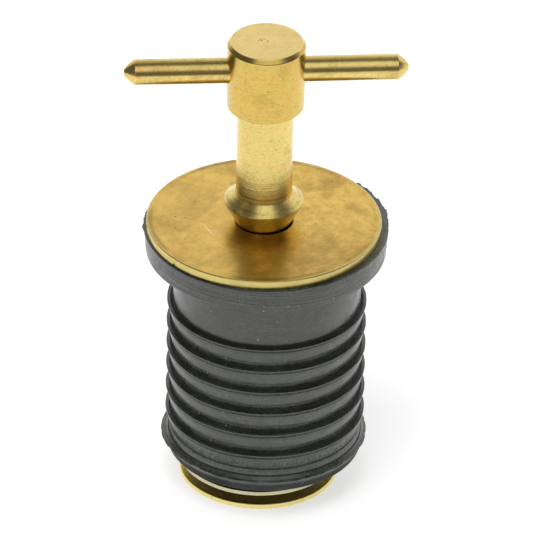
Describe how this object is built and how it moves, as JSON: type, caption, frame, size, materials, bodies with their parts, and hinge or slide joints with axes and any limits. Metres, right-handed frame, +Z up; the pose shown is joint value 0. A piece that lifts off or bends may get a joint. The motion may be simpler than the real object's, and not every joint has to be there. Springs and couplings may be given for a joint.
{
  "type": "expanding drain plug for boat",
  "caption": "Expanding T-handle drain plug for a boat: brass spindle with cross bar and top plate, ribbed black rubber body, and a washer and flanged nut that squeeze it.",
  "frame": {"origin": "on the spindle's axis, in the plane of the nut flange's underside, the lowest face of the part as it stands", "axes": "+Z up along the spindle towards the T-handle, X along the cross bar at rest, -Y towards the picture's camera"},
  "size_m": [0.044, 0.0378, 0.0776],
  "materials": {
    "turned_brass": "fine lathe rings, lightly tarnished",
    "bar_brass": "drawn bar, bright with faint lengthwise lines",
    "sheet_brass": "rolled sheet, satin, brown tarnish and small pits",
    "black_rubber": "moulded, satin, dusty, with a ragged seam fin",
    "washer_brass": "stamped, bright rim",
    "nut_brass": "turned, bright rim"
  },
  "bodies": {
    "plug": {"rubber_plug": "black_rubber", "top_plate": "sheet_brass"},
    "handle": {"spindle": "turned_brass", "tee_bar": "bar_brass"},
    "clamp": {"flange_nut": "nut_brass", "thrust_washer": "washer_brass"}
  },
  "joints": [
    {"name": "handle_turn", "type": "hinge", "parent": "plug", "child": "handle", "pos_m": [0, 0, 0.07259], "axis": [0, 0, -1], "range_deg": [0, 990]},
    {"name": "clamp_lift", "type": "slide", "parent": "plug", "child": "clamp", "axis": [0, 0, 1], "range_m": [0, 0.0035], "deforming": ["rubber_plug"]}
  ],
  "couplings": [
    {"joint": "clamp_lift", "follows": "handle_turn", "m_per_rad": 0.00020213}
  ]
}
